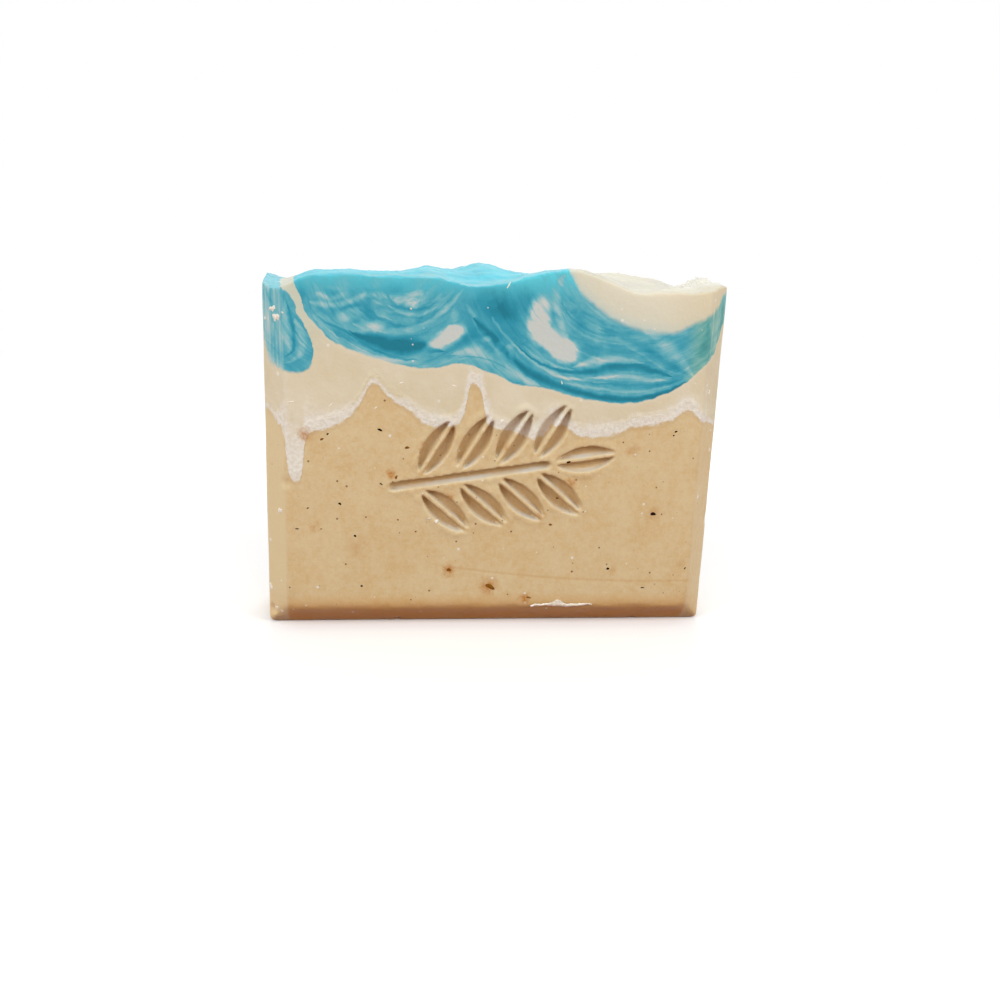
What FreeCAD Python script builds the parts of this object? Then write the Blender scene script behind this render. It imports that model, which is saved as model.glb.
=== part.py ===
"""A bar of handmade soap, one slice of a poured loaf, standing on its long narrow foot.

The slice was wire cut from the loaf, so its front and back are flat and parallel. Its long edges were
planed to bevels, and its top keeps the crests and hollows that a spoon drew in the batter. A die has
pressed a leafy sprig into the front.

Frame: millimetres, +Z up, +X along the slice, the stamped front facing -Y. The origin is the middle of
the foot, on the surface that the bar stands on.
"""
import FreeCAD
import Part
import Sketcher
import math
import os

# Each size of the bar: its alias in the sheet, its value in millimetres or degrees, and what it is.
SIZES = {
    "bar_width": (89.0, "length of the slice, across the loaf"),
    "bar_height": (69.0, "height of the top before its crests and hollows"),
    "bar_thickness": (25.4, "thickness of the slice, along the loaf"),
    "side_bevel": (4.2, "planed bevel on the four upright edges"),
    "foot_bevel": (4.5, "planed bevel on the two long edges of the foot"),
    "foot_wear": (1.6, "wear on the two short edges of the foot"),
    "stamp_across": (0.2, "middle of the stamp, right of the middle of the front"),
    "stamp_above_foot": (32.5, "middle of the stamp, above the foot"),
    "stamp_tilt": (9.0, "turn of the stamp, anticlockwise"),
    "stamp_depth": (1.4, "how far the die was pressed in"),
    "stamp_draft": (14.0, "slope of the die's walls"),
    "stem_start": (20.5, "cut end of the stem, left of the middle of the stamp"),
    "stem_end": (9.8, "last of the stem before the top leaf, right of the middle"),
    "stem_thickness": (1.6, "width of the stem"),
    "leaf_start": (15.2, "foot of the first pair of leaves, left of the middle"),
    "leaf_spacing": (7.6, "from one pair of leaves to the next"),
    "leaf_pairs": (4, "pairs of leaves"),
    "leaf_angle": (50.0, "lean of a leaf from the stem"),
    "leaf_length": (12.6, "length of a leaf"),
    "leaf_belly": (2.2, "width of half a leaf"),
    "leaf_rib": (0.7, "ridge left between the two halves of a leaf"),
    "leaf_gap": (0.7, "from a leaf to the stem"),
}

# The crests and hollows of the top, named for where they lie. Each has its distance right of the bar's
# middle, its distance behind the middle of its thickness, its rise, and its reach across and backwards.
CRESTS = {
    "left_shoulder": (-43.0, -12.7, -2.4, 4.6, 8.0),
    "left_notch": (-40.9, 4.0, -1.5, 3.0, 15.0),
    "left_fall": (-44.0, 12.7, -1.1, 9.0, 9.0),
    "left_swell": (-27.0, -4.0, 0.6, 11.0, 15.0),
    "left_crest": (-13.7, -3.0, 1.6, 4.5, 9.0),
    "front_hollow": (-3.8, -12.7, -1.1, 6.0, 6.0),
    "middle_peak": (-2.6, 1.0, 2.5, 6.0, 7.5),
    "right_crest": (13.0, -11.0, 2.5, 8.8, 12.0),
    "cap_hollow": (30.0, -12.7, -2.6, 7.5, 7.0),
    "cap_swell": (25.5, 2.0, 1.2, 9.5, 7.0),
    "end_notch": (36.9, -1.0, -0.9, 2.6, 9.0),
    "end_lump": (40.0, -4.0, 1.5, 2.8, 5.0),
    "end_fall": (39.5, 12.7, -1.5, 6.5, 9.0),
    "back_roll": (-22.0, 11.0, -1.1, 9.0, 5.0),
    "back_hollow": (9.0, 12.7, -1.4, 8.0, 6.0),
}
CREST_MEASURES = ("across", "behind", "rise", "reach_across", "reach_back")

TOP_STOCK = 8.0        # soap above bar_height in the block, that the top is trimmed from
TRIM_HEIGHT = 20.0     # height of the trimming tool, past the top of the block all over
TRIM_MARGIN = 3.0      # how far the trimming tool runs past the bar on each side
CREST_GRID = 2.0       # spacing of the points that the top surface passes through
SAME_PLACE = 1e-4      # two places closer than this are the same


def make_sheet(doc):
    """The spreadsheet: a named cell for each size, and a row of five for each crest."""
    sheet = doc.addObject("Spreadsheet::Sheet", "sizes")
    for row, (alias, (value, note)) in enumerate(SIZES.items(), start=1):
        sheet.set(f"A{row}", note)
        sheet.set(f"B{row}", str(value))
        sheet.setAlias(f"B{row}", alias)
    for row, (crest, measures) in enumerate(CRESTS.items(), start=len(SIZES) + 2):
        sheet.set(f"A{row}", crest.replace("_", " "))
        for column, measure, value in zip("BCDEF", CREST_MEASURES, measures):
            sheet.set(f"{column}{row}", str(value))
            sheet.setAlias(f"{column}{row}", f"{crest}_{measure}")
    doc.recompute()


def in_cells(formula):
    """A formula whose sizes are written as {alias}, with each made a reference to the sheet."""
    return formula.format(**{alias: f"sizes.{alias}" for alias in SIZES})


def value_of(doc, formula):
    """What the formula comes to with the sheet's present sizes."""
    return float(doc.sizes.evalExpression(in_cells(formula)))


def bind(thing, path, formula):
    """Ties one property of an object to a formula of sizes."""
    thing.setExpression(path, in_cells(formula))


def new_sketch(body, name, role):
    """An empty sketch of the body, flat on one of its origin planes."""
    sketch = body.newObject("Sketcher::SketchObject", name)
    plane = next(item for item in body.Origin.OriginFeatures if item.Role == role)
    sketch.AttachmentSupport = [(plane, "")]
    sketch.MapMode = "FlatFace"
    return sketch


def join(sketch, *references):
    """Makes two points of a sketch the same point."""
    sketch.addConstraint(Sketcher.Constraint("Coincident", *references))


def measure(sketch, kind, *references, formula):
    """Adds one dimension to a sketch, tied to a formula of sizes."""
    value = value_of(sketch.Document, formula)
    index = sketch.addConstraint(Sketcher.Constraint(kind, *references, value))
    bind(sketch, f"Constraints[{index}]", formula)


def draw_polygon(sketch, corners):
    """A closed outline of straight lines, with each corner placed by two formulas."""
    doc = sketch.Document
    points = [FreeCAD.Vector(value_of(doc, x), value_of(doc, y), 0) for x, y in corners]
    lines = [sketch.addGeometry(Part.LineSegment(start, end))
             for start, end in zip(points, points[1:] + points[:1])]
    for line, following in zip(lines, lines[1:] + lines[:1]):
        join(sketch, line, 2, following, 1)
    for line, (x, y) in zip(lines, corners):
        measure(sketch, "DistanceX", -1, 1, line, 1, formula=x)
        measure(sketch, "DistanceY", -1, 1, line, 1, formula=y)


def add_block(body):
    """The slice as the wire and the planer left it, with stock above it for the top."""
    half_width, half_thickness, bevel = "{bar_width} / 2", "{bar_thickness} / 2", "{side_bevel}"
    quarter = [(f"{half_width} - {bevel}", half_thickness), (half_width, f"{half_thickness} - {bevel}")]
    corners = []
    for right, back in ((1, 1), (1, -1), (-1, -1), (-1, 1)):
        corners += [(f"{right} * ({x})", f"{back} * ({y})") for x, y in quarter[::right * back]]
    outline = new_sketch(body, "foot_outline", "XY_Plane")
    draw_polygon(outline, corners)
    pad = body.newObject("PartDesign::Pad", "bevelled_block")
    pad.Profile = outline
    bind(pad, "Length", f"{{bar_height}} + {TOP_STOCK}")
    body.Document.recompute()


def cut(body, sketch, name, **settings):
    """Pockets the sketch's outline out of the body, and sees that it cut something."""
    before = body.Shape.Volume
    pocket = body.newObject("PartDesign::Pocket", name)
    pocket.Profile = sketch
    for setting, value in settings.items():
        if "{" in value:
            bind(pocket, setting, value)
        else:
            setattr(pocket, setting, value)
    body.Document.recompute()
    if body.Shape.Volume >= before:
        raise RuntimeError(f"{name} cuts nothing")
    return pocket


def bevel_foot(body):
    """The planed bevels along the foot, and the wear on its two short edges."""
    for name, side in (("front", -1), ("back", 1)):
        outline = new_sketch(body, f"{name}_bevel_outline", "YZ_Plane")
        face = "{bar_thickness} / 2"
        draw_polygon(outline, [
            (f"{side} * ({face} - {{foot_bevel}})", "0"),
            (f"{side} * ({face} + {{foot_bevel}})", "0"),
            (f"{side} * ({face} + {{foot_bevel}})", "2 * {foot_bevel}"),
        ])
        cut(body, outline, f"{name}_foot_bevel", Type="ThroughAll", SideType="Symmetric")

    def is_short_foot_edge(edge):
        box = edge.BoundBox
        return box.ZMax < SAME_PLACE and box.XLength < SAME_PLACE

    edges = [f"Edge{number}" for number, edge in enumerate(body.Shape.Edges, start=1)
             if is_short_foot_edge(edge)]
    base = body.Tip
    wear = body.newObject("PartDesign::Fillet", "worn_foot_ends")
    wear.Base = (base, edges)
    bind(wear, "Radius", "{foot_wear}")
    body.Document.recompute()


def stamp_sketch(body, name):
    """An empty sketch on the bar's front, placed and turned as the die was."""
    sketch = new_sketch(body, name, "XZ_Plane")
    sketch.AttachmentOffset = FreeCAD.Placement(
        FreeCAD.Vector(0, 0, 0), FreeCAD.Rotation(FreeCAD.Vector(0, 0, 1), 1))
    bind(sketch, "AttachmentOffset.Base.x", "{stamp_across}")
    bind(sketch, "AttachmentOffset.Base.y", "{stamp_above_foot}")
    bind(sketch, "AttachmentOffset.Base.z", "{bar_thickness} / 2")
    bind(sketch, "AttachmentOffset.Rotation.Angle", "{stamp_tilt}")
    return sketch


def draw_half_leaf(sketch, foot, lean, side):
    """Half a leaf: the straight side at its rib, closed by the arc of its belly.

    foot is the leaf's foot, as two formulas, and lean is its turn from the stem. side is 1 for the half
    on the left of the rib, looking from foot to tip, and -1 for the half on its right.
    """
    doc = sketch.Document
    rib = f"{side} * {{leaf_rib}} / 2"
    start = (f"{foot[0]} - {rib} * sin({lean})", f"{foot[1]} + {rib} * cos({lean})")
    end = (f"{start[0]} + {{leaf_length}} * cos({lean})", f"{start[1]} + {{leaf_length}} * sin({lean})")
    first, last = (FreeCAD.Vector(value_of(doc, x), value_of(doc, y), 0) for x, y in (start, end))
    outwards = FreeCAD.Vector(first.y - last.y, last.x - first.x, 0).normalize() * side
    belly = (first + last) / 2 + outwards * value_of(doc, "{leaf_belly}")

    straight = sketch.addGeometry(Part.LineSegment(first, last))
    arc = sketch.addGeometry(Part.Arc(first, belly, last))
    from_foot = (sketch.getPoint(arc, 1) - first).Length < SAME_PLACE
    join(sketch, straight, 1, arc, 1 if from_foot else 2)
    join(sketch, straight, 2, arc, 2 if from_foot else 1)
    for point, (x, y) in ((1, start), (2, end)):
        measure(sketch, "DistanceX", -1, 1, straight, point, formula=x)
        measure(sketch, "DistanceY", -1, 1, straight, point, formula=y)
    measure(sketch, "Radius", arc, formula="({leaf_length} ^ 2 / 4 + {leaf_belly} ^ 2) / (2 * {leaf_belly})")


def draw_stem(sketch):
    """The stem's outline, straight with round ends."""
    doc = sketch.Document
    radius = value_of(doc, "{stem_thickness} / 2")
    left, right = value_of(doc, "-{stem_start}"), value_of(doc, "{stem_end}")
    quarter = math.pi / 2
    lower = sketch.addGeometry(Part.LineSegment(
        FreeCAD.Vector(left, -radius, 0), FreeCAD.Vector(right, -radius, 0)))
    upper = sketch.addGeometry(Part.LineSegment(
        FreeCAD.Vector(right, radius, 0), FreeCAD.Vector(left, radius, 0)))
    circles = [Part.Circle(FreeCAD.Vector(x, 0, 0), FreeCAD.Vector(0, 0, 1), radius) for x in (right, left)]
    last_end = sketch.addGeometry(Part.ArcOfCircle(circles[0], -quarter, quarter))
    cut_end = sketch.addGeometry(Part.ArcOfCircle(circles[1], quarter, 3 * quarter))
    for before, after in ((lower, last_end), (last_end, upper), (upper, cut_end), (cut_end, lower)):
        sketch.addConstraint(Sketcher.Constraint("Tangent", before, 2, after, 1))
    sketch.addConstraint(Sketcher.Constraint("Horizontal", lower))
    sketch.addConstraint(Sketcher.Constraint("PointOnObject", cut_end, 3, -1))
    measure(sketch, "DistanceX", -1, 1, cut_end, 3, formula="-{stem_start}")
    measure(sketch, "DistanceX", -1, 1, last_end, 3, formula="{stem_end}")
    measure(sketch, "Radius", last_end, formula="{stem_thickness} / 2")


def add_stamp(body):
    """The sprig in the front: pairs of leaves along a stem, and one leaf past its end."""
    press = {"Length": "{stamp_depth}", "TaperAngle": "-{stamp_draft}"}

    pair_outline = stamp_sketch(body, "leaf_pair_outline")
    for flank in (1, -1):
        foot = ("-{leaf_start}", f"{flank} * ({{stem_thickness}} / 2 + {{leaf_gap}})")
        for side in (1, -1):
            draw_half_leaf(pair_outline, foot, f"{flank} * {{leaf_angle}}", side)
    first_pair = cut(body, pair_outline, "first_leaf_pair", **press)
    pairs = body.newObject("PartDesign::LinearPattern", "leaf_pairs_along_the_stem")
    pairs.Originals = [first_pair]
    pairs.Direction = (pair_outline, ["H_Axis"])
    pairs.Mode = "Spacing"
    bind(pairs, "Offset", "{leaf_spacing}")
    bind(pairs, "Occurrences", "{leaf_pairs}")
    body.Tip = pairs
    body.Document.recompute()

    stem_outline = stamp_sketch(body, "stem_outline")
    draw_stem(stem_outline)
    cut(body, stem_outline, "stem", **press)

    top_outline = stamp_sketch(body, "top_leaf_outline")
    for side in (1, -1):
        draw_half_leaf(top_outline, ("{stem_end} + {stem_thickness} / 2 + {leaf_gap}", "0"), "0", side)
    cut(body, top_outline, "top_leaf", **press)


def make_top_trim(doc):
    """The tool that trims the top: all that lies above the waves of crests and hollows."""
    sheet = doc.sizes
    crests = [[sheet.get(f"{crest}_{measure}") for measure in CREST_MEASURES] for crest in CRESTS]

    def height_at(x, y):
        waves = (rise * math.exp(-((x - across) / reach_across) ** 2 - ((y - behind) / reach_back) ** 2)
                 for across, behind, rise, reach_across, reach_back in crests)
        return sheet.bar_height + sum(waves)

    def grid_line(size):
        reach = size / 2 + TRIM_MARGIN
        steps = math.ceil(2 * reach / CREST_GRID)
        return [-reach + 2 * reach * step / steps for step in range(steps + 1)]

    rows = [[FreeCAD.Vector(x, y, height_at(x, y)) for y in grid_line(sheet.bar_thickness)]
            for x in grid_line(sheet.bar_width)]
    waves = Part.BSplineSurface()
    waves.interpolate(rows)
    trim = doc.addObject("Part::Feature", "top_trim")
    trim.Shape = waves.toShape().extrude(FreeCAD.Vector(0, 0, TRIM_HEIGHT))
    return trim


def write_part(doc, part, node):
    """Writes one finished piece, once nothing in the document has failed."""
    doc.recompute()
    failed = [item.Label for item in doc.Objects if "Invalid" in item.State or "Error" in item.State]
    if failed:
        raise RuntimeError(f"these failed: {failed}")
    shape = part.Shape
    if shape.isNull() or not shape.isValid() or len(shape.Solids) != 1:
        raise RuntimeError(f"{node} is not one valid solid")
    os.makedirs("parts", exist_ok=True)
    shape.exportStep(f"parts/{node}.step")
    box = shape.BoundBox
    print(f"{node}: {box.XLength:.2f} x {box.YLength:.2f} x {box.ZLength:.2f} mm, "
          f"{shape.Volume / 1000:.1f} cubic centimetres, {len(shape.Faces)} faces")


def main():
    doc = FreeCAD.newDocument("soap")
    make_sheet(doc)
    slice_body = doc.addObject("PartDesign::Body", "pressed_slice")
    add_block(slice_body)
    bevel_foot(slice_body)
    add_stamp(slice_body)
    bar = doc.addObject("Part::Cut", "bar")
    bar.Label = "soap_bar"
    bar.Base = slice_body
    bar.Tool = make_top_trim(doc)
    write_part(doc, bar, bar.Label)


main()
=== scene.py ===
"""The look of a handmade bar of soap: the cut slice, the swirl in it, and the bits in it and on it."""

import math
import random
from types import SimpleNamespace

import bpy
from mathutils import Matrix, Vector, kdtree


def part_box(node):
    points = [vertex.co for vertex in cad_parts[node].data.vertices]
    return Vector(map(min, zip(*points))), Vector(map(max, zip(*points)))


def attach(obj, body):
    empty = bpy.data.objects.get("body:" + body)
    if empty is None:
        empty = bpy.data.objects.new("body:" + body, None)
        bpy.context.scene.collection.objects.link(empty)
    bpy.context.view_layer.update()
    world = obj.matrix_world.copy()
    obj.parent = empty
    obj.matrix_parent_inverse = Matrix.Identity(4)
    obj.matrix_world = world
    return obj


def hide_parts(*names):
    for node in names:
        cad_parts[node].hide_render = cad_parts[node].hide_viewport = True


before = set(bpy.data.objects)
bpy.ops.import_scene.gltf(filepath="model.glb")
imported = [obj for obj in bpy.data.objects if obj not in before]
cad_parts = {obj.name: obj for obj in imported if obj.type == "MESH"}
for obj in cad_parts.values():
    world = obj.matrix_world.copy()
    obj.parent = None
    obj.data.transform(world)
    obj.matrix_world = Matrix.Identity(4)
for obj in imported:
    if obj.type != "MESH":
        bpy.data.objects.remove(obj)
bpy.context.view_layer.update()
MM = 0.001
BODY = "root"
NODE = "soap_bar"
LOW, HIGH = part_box(NODE)
FRONT = LOW.y / MM             # the stamped face, in millimetres
BACK = HIGH.y / MM
HALF_WIDTH = HIGH.x / MM

# Camera: where it stands in millimetres, and how it is turned, in degrees
LENS = 36.185
CAMERA_PLACE = (-22.663, -201.744, 78.978)
CAMERA_TURN = -7.107
CAMERA_DIP = 15.301
CAMERA_ROLL = 2.225

# Making of the bar's mesh, in millimetres
VOXEL = 0.27
EDGE_SOFTENING = 5             # smoothing passes over the remeshed bar
EDGE_ROUNDING = 30             # more of them along the upright bevels and the brims
FOOT_ROUNDING = 170            # and most along the long edges of the foot
MOST_TRIANGLES = 190000
SIDE_BEVEL = 4.2               # width of the upright bevels along the front
FOOT_BEVEL = 4.5               # height of the foot's bevels

# Colours of the layers, as they look in even light
BEIGE = "#c8b48b"
BEIGE_PALE = "#cdbe97"
BEIGE_WARM = "#c2a877"
# Painted shade, not a layer: the warm brown that the foot's bevel has in shade
BEIGE_FOOT_SHADE = "#c49148"
CREAM = "#c9c0a3"
CREAM_PALE = "#d1cbb4"
CREAM_BY_DRIP = "#b9c4b4"
FROTH = "#dad9d0"
FROTH_SHADE = "#cecbbd"
CAP_COLOURS = [(0.0, "#bac7bd"), (0.3, "#cccdba"), (1.0, "#d6d2bd")]
CAP_RIGHT = "#cec4a6"
SWIRL_COLOURS = [(0.0, "#0f7488"), (0.2, "#238ba2"), (0.4, "#409bae"), (0.6, "#65adb8"),
                 (0.8, "#92bbc0"), (1.0, "#bcc5c1")]
TEAL_COLOURS = [(0.0, "#2c7c80"), (0.35, "#529b99"), (0.65, "#84b5ad"), (1.0, "#bccabb")]
RIM_CYAN = "#5bc6d4"
# The stains' tone, also used as the painted shade in the stamp's recess
STAIN_AND_SHADE = "#ad742c"
HERB_DUST = "#6e4d28"
ASH_ON_BLUE = [(0.38, "#67afbf"), (0.68, "#8dc3cc")]
ASH_ON_CREAM = "#c1beb3"
DRY_WHITE = "#f4eee4"
DARK_HERB = ("#0c0703", "#2b1a0c")
BROWN_HERB = ("#553413", "#96651f")

# The layers' edges on the front, left to right: millimetres right of the middle, and above the foot
BEIGE_EDGE = [
    (-44.5, 44.0), (-42.7, 42.5), (-41.0, 40.5), (-40.4, 38.0), (-40.1, 34.0), (-39.5, 31.0),
    (-38.4, 30.2), (-37.4, 31.8), (-36.9, 35.5), (-36.6, 38.6), (-34.9, 40.2), (-32.6, 40.7),
    (-29.2, 42.3), (-27.4, 44.2), (-26.2, 45.9), (-25.3, 47.7), (-24.5, 49.1), (-23.6, 49.5),
    (-22.6, 48.7), (-21.2, 47.1), (-19.4, 45.8), (-17.3, 44.5), (-15.4, 42.8), (-13.8, 41.6),
    (-11.8, 41.1), (-9.4, 41.3), (-7.5, 42.3), (-6.4, 44.8), (-5.9, 48.1), (-5.0, 49.7), (-3.9, 48.9),
    (-3.1, 46.8), (-2.7, 44.3), (-2.0, 42.0), (-0.3, 41.0), (3.3, 40.3), (8.1, 39.1), (9.8, 40.4),
    (11.2, 41.9), (13.8, 41.2), (15.7, 39.9), (19.3, 39.6), (24.0, 40.5), (26.4, 41.8), (30.2, 42.2),
    (33.4, 42.9), (35.2, 43.9), (37.3, 45.2), (39.0, 44.3), (41.2, 42.7), (44.5, 42.2)]
SWIRL_EDGE = [
    (-39.0, 72.0), (-38.4, 68.6), (-37.9, 66.4), (-37.0, 64.8), (-36.5, 62.6), (-35.1, 60.8), (-33.4, 59.0),
    (-31.9, 57.4), (-29.0, 56.0), (-25.5, 54.7), (-22.2, 53.8), (-18.7, 53.0), (-15.7, 52.5), (-11.8, 52.6),
    (-8.5, 53.4), (-5.8, 53.3), (-3.3, 52.3), (0.0, 51.2), (3.1, 49.8), (7.0, 49.4), (10.2, 48.8),
    (14.0, 47.7), (18.8, 46.9), (23.5, 46.5), (27.3, 46.7), (31.3, 48.0), (34.4, 49.4), (36.5, 50.8),
    (38.9, 53.1), (40.7, 54.8), (41.7, 55.9), (42.5, 57.4), (43.2, 59.3), (43.9, 61.6), (44.5, 63.5)]
DRIP_FOOT = [
    (-44.5, 61.5), (-43.9, 59.0), (-43.4, 56.0), (-42.8, 53.2), (-41.6, 51.9), (-40.1, 51.4), (-38.1, 51.1),
    (-36.3, 51.6), (-35.3, 52.8), (-34.8, 55.0)]
DRIP_SHOULDER = [
    (-41.6, 72.0), (-41.0, 68.0), (-40.4, 66.4), (-39.3, 65.6), (-38.2, 63.9), (-37.8, 61.9), (-36.9, 60.6),
    (-35.8, 58.5), (-35.1, 56.4), (-34.7, 54.0)]
CAP_EDGE = [
    (11.6, 74.0), (12.4, 71.0), (13.6, 69.0), (14.8, 67.2), (17.1, 65.4), (19.8, 63.4), (22.4, 62.0),
    (25.6, 60.9), (29.0, 60.3), (32.4, 60.1), (34.2, 60.5), (36.8, 62.0), (39.6, 63.3), (41.7, 65.0),
    (43.2, 67.2), (44.5, 68.0)]

# Streaks in the swirl. Each has how far it pales (above 0) or deepens (below 0) the blue, then its
# points from left to right: millimetres right of the middle, above the foot, and half its width,
# which is nothing at its two ends.
LEVEL_STREAKS = {
    "seam_under_left_bowl": (0.11, [
        (-30.0, 55.9), (-26.0, 54.7, 0.51), (-22.7, 53.9, 0.62), (-18.9, 53.3, 0.62),
        (-15.2, 53.1, 0.62), (-11.5, 53.7, 0.62), (-8.5, 54.3, 0.51), (-5.5, 54.8)]),
    "pale_left_shore": (0.2, [
        (-35.1, 62.0), (-34.0, 60.5, 0.41), (-32.6, 59.3, 0.66), (-30.8, 57.7, 0.74),
        (-28.7, 56.4, 0.7), (-26.0, 55.1, 0.53), (-21.7, 54.0, 0.41), (-18.0, 53.7)]),
    "left_shore_line": (-0.2, [
        (-34.4, 61.8), (-32.9, 60.7, 0.21), (-30.7, 59.7, 0.27), (-28.2, 58.5, 0.29),
        (-26.0, 56.9, 0.29), (-23.0, 55.4, 0.29), (-19.0, 54.2, 0.25), (-14.8, 53.9)]),
    "left_shore_light": (0.2, [
        (-31.8, 59.0), (-30.6, 58.0, 0.16), (-28.7, 57.1, 0.16), (-26.4, 55.8, 0.14),
        (-24.1, 54.9)]),
    "deep_crescent": (-0.5, [
        (-28.6, 59.2), (-26.9, 58.3, 0.45), (-24.9, 57.7, 1.03), (-22.7, 57.1, 1.44),
        (-19.9, 56.6, 1.64), (-17.1, 56.6, 1.56), (-14.9, 56.6, 1.13), (-13.0, 55.9, 0.62),
        (-10.4, 55.7)]),
    "bowl_rim": (0.23, [
        (-27.8, 60.5), (-26.0, 60.0, 0.62), (-22.7, 59.4, 0.82), (-19.9, 59.1, 0.74),
        (-16.8, 59.6, 0.74), (-13.9, 60.9, 0.74), (-11.7, 62.4, 0.7), (-9.8, 64.3, 0.62),
        (-8.6, 65.8, 0.49), (-7.1, 67.7)]),
    "hook": (0.23, [
        (-35.8, 64.3), (-34.0, 63.8, 0.45), (-31.4, 63.7, 0.53), (-28.9, 64.2, 0.53),
        (-26.7, 65.1, 0.53), (-24.7, 65.8, 0.53), (-22.7, 65.9, 0.53), (-21.3, 65.1)]),
    "inner_line": (-0.15, [
        (-22.4, 66.5), (-21.3, 65.4, 0.29), (-20.2, 64.4, 0.31), (-18.7, 63.5, 0.29),
        (-16.3, 63.2, 0.27), (-13.9, 63.8, 0.27), (-12.1, 65.0)]),
    "inner_light": (0.25, [
        (-21.6, 64.1), (-20.2, 63.2, 0.29), (-18.3, 62.5, 0.33), (-16.1, 62.3, 0.33),
        (-13.9, 62.9, 0.33), (-12.2, 64.0)]),
    "inner_dark_foot": (-0.13, [
        (-24.2, 63.0), (-23.1, 61.6, 0.37), (-21.2, 60.9, 0.33), (-19.0, 60.2, 0.33),
        (-16.3, 60.5, 0.29), (-13.5, 61.8, 0.25), (-11.7, 63.5)]),
    "pale_middle_shore": (0.29, [
        (-9.6, 55.1), (-7.4, 55.7, 0.62), (-4.9, 55.9, 1.03), (-2.6, 55.0, 1.23), (-0.1, 53.5, 1.27),
        (2.5, 51.9, 1.13), (5.2, 50.6, 0.82), (8.0, 49.5)]),
    "middle_shore_line": (-0.2, [
        (-8.5, 54.5), (-6.2, 54.8, 0.16), (-3.2, 54.5, 0.18), (-0.1, 53.4, 0.16), (2.6, 52.1)]),
    "long_deep": (-0.42, [
        (-5.5, 62.2), (-3.8, 60.4, 0.92), (-2.0, 58.8, 1.03), (-0.0, 56.9, 0.82), (2.1, 54.9, 0.78),
        (4.7, 52.7, 0.86), (8.7, 50.7, 0.9), (12.6, 49.2, 0.74), (16.6, 48.2, 0.62), (20.6, 47.5, 0.62),
        (25.5, 47.3, 0.53), (30.5, 48.1, 0.53), (33.8, 49.3, 0.45), (36.8, 51.1)]),
    "pale_slash": (0.26, [
        (-2.1, 62.3), (-1.1, 61.2, 0.49), (0.0, 59.8, 0.49), (1.4, 58.2, 0.39), (3.4, 56.3, 0.37),
        (6.0, 54.2, 0.37), (9.2, 52.4, 0.37), (12.7, 51.2, 0.31), (17.4, 50.6, 0.27), (21.8, 50.4)]),
    "bowl_line": (-0.36, [
        (2.2, 58.0), (3.6, 56.6, 0.18), (5.2, 55.3, 0.23), (7.2, 54.1, 0.25), (9.5, 53.1, 0.27),
        (11.9, 52.5, 0.31), (14.6, 52.3, 0.41), (17.7, 52.6, 0.62), (20.4, 53.2, 0.82), (23.1, 53.7, 0.94),
        (25.7, 53.8, 0.82), (28.3, 53.2, 0.62), (31.1, 52.5, 0.45), (33.9, 51.8)]),
    "bowl_light": (0.18, [
        (3.9, 57.4), (5.5, 56.1, 0.33), (7.5, 54.8, 0.35), (9.9, 53.7, 0.31), (12.6, 53.0, 0.18),
        (15.0, 52.9)]),
    "line_under_deep": (0.16, [
        (9.2, 51.9), (11.9, 51.3, 0.23), (15.5, 51.1, 0.23), (19.4, 51.3, 0.25), (23.2, 51.8)]),
    "lower_pale": (0.28, [
        (17.4, 51.3), (20.5, 51.5, 0.41), (24.3, 51.5, 0.57), (27.6, 51.3, 0.51), (30.4, 51.1, 0.37),
        (32.8, 51.1)]),
    "lower_mid_dark": (-0.16, [
        (12.7, 50.8), (16.5, 50.5, 0.25), (20.6, 50.3, 0.29), (25.0, 49.9, 0.49), (27.3, 49.8, 0.49),
        (30.5, 50.1, 0.33), (33.6, 50.6, 0.25), (36.0, 51.5)]),
    "lower_light": (0.2, [
        (11.6, 50.5), (14.0, 49.9, 0.25), (17.5, 49.4, 0.31), (22.5, 48.9, 0.37), (27.4, 48.8, 0.37),
        (31.0, 49.4, 0.29), (33.7, 50.2)]),
    "tail": (0.36, [
        (13.6, 53.2), (15.9, 53.9, 0.53), (18.5, 54.7, 0.78), (21.5, 54.9, 0.74), (24.6, 54.7, 0.53),
        (28.0, 54.3)]),
    "over_tail": (-0.1, [
        (15.4, 57.9), (18.4, 57.0, 0.37), (21.9, 56.4, 0.45), (25.3, 56.3, 0.49), (28.4, 56.7, 0.33),
        (30.8, 56.4)]),
    "fan_deep": (-0.16, [
        (18.2, 60.6), (21.7, 59.8, 0.62), (25.1, 58.5, 0.74), (27.7, 57.4, 0.78), (30.2, 55.8, 0.7),
        (32.5, 54.3, 0.66), (34.6, 53.3, 0.49), (36.7, 52.3)]),
    "fan_light": (0.15, [
        (23.6, 57.7), (26.4, 56.5, 0.25), (28.9, 55.0, 0.29), (31.4, 53.5, 0.29), (34.3, 52.4)]),
    "tip_pale": (0.22, [
        (26.5, 60.9), (29.6, 59.4, 0.9), (31.8, 57.8, 1.4), (34.0, 56.1, 1.4), (35.7, 54.5, 1.1),
        (37.0, 53.0, 0.7), (38.4, 51.4)]),
    "arc_light_upper": (0.14, [
        (11.3, 63.6), (12.5, 61.8, 0.29), (14.9, 59.9, 0.29), (18.5, 58.4, 0.25), (22.4, 58.0, 0.23),
        (25.9, 58.0)]),
    "arc_dark_upper": (-0.13, [
        (10.7, 66.5), (11.8, 64.4, 0.31), (13.5, 62.2, 0.37), (16.4, 60.4, 0.37), (19.6, 59.5, 0.29),
        (22.3, 59.4)]),
    "cap_blend": (0.12, [
        (15.3, 65.9), (18.2, 63.6, 0.37), (21.6, 61.6, 0.37), (25.6, 60.4, 0.37), (29.5, 60.0, 0.37),
        (33.5, 59.9, 0.33), (36.3, 60.7)]),
}

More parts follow.
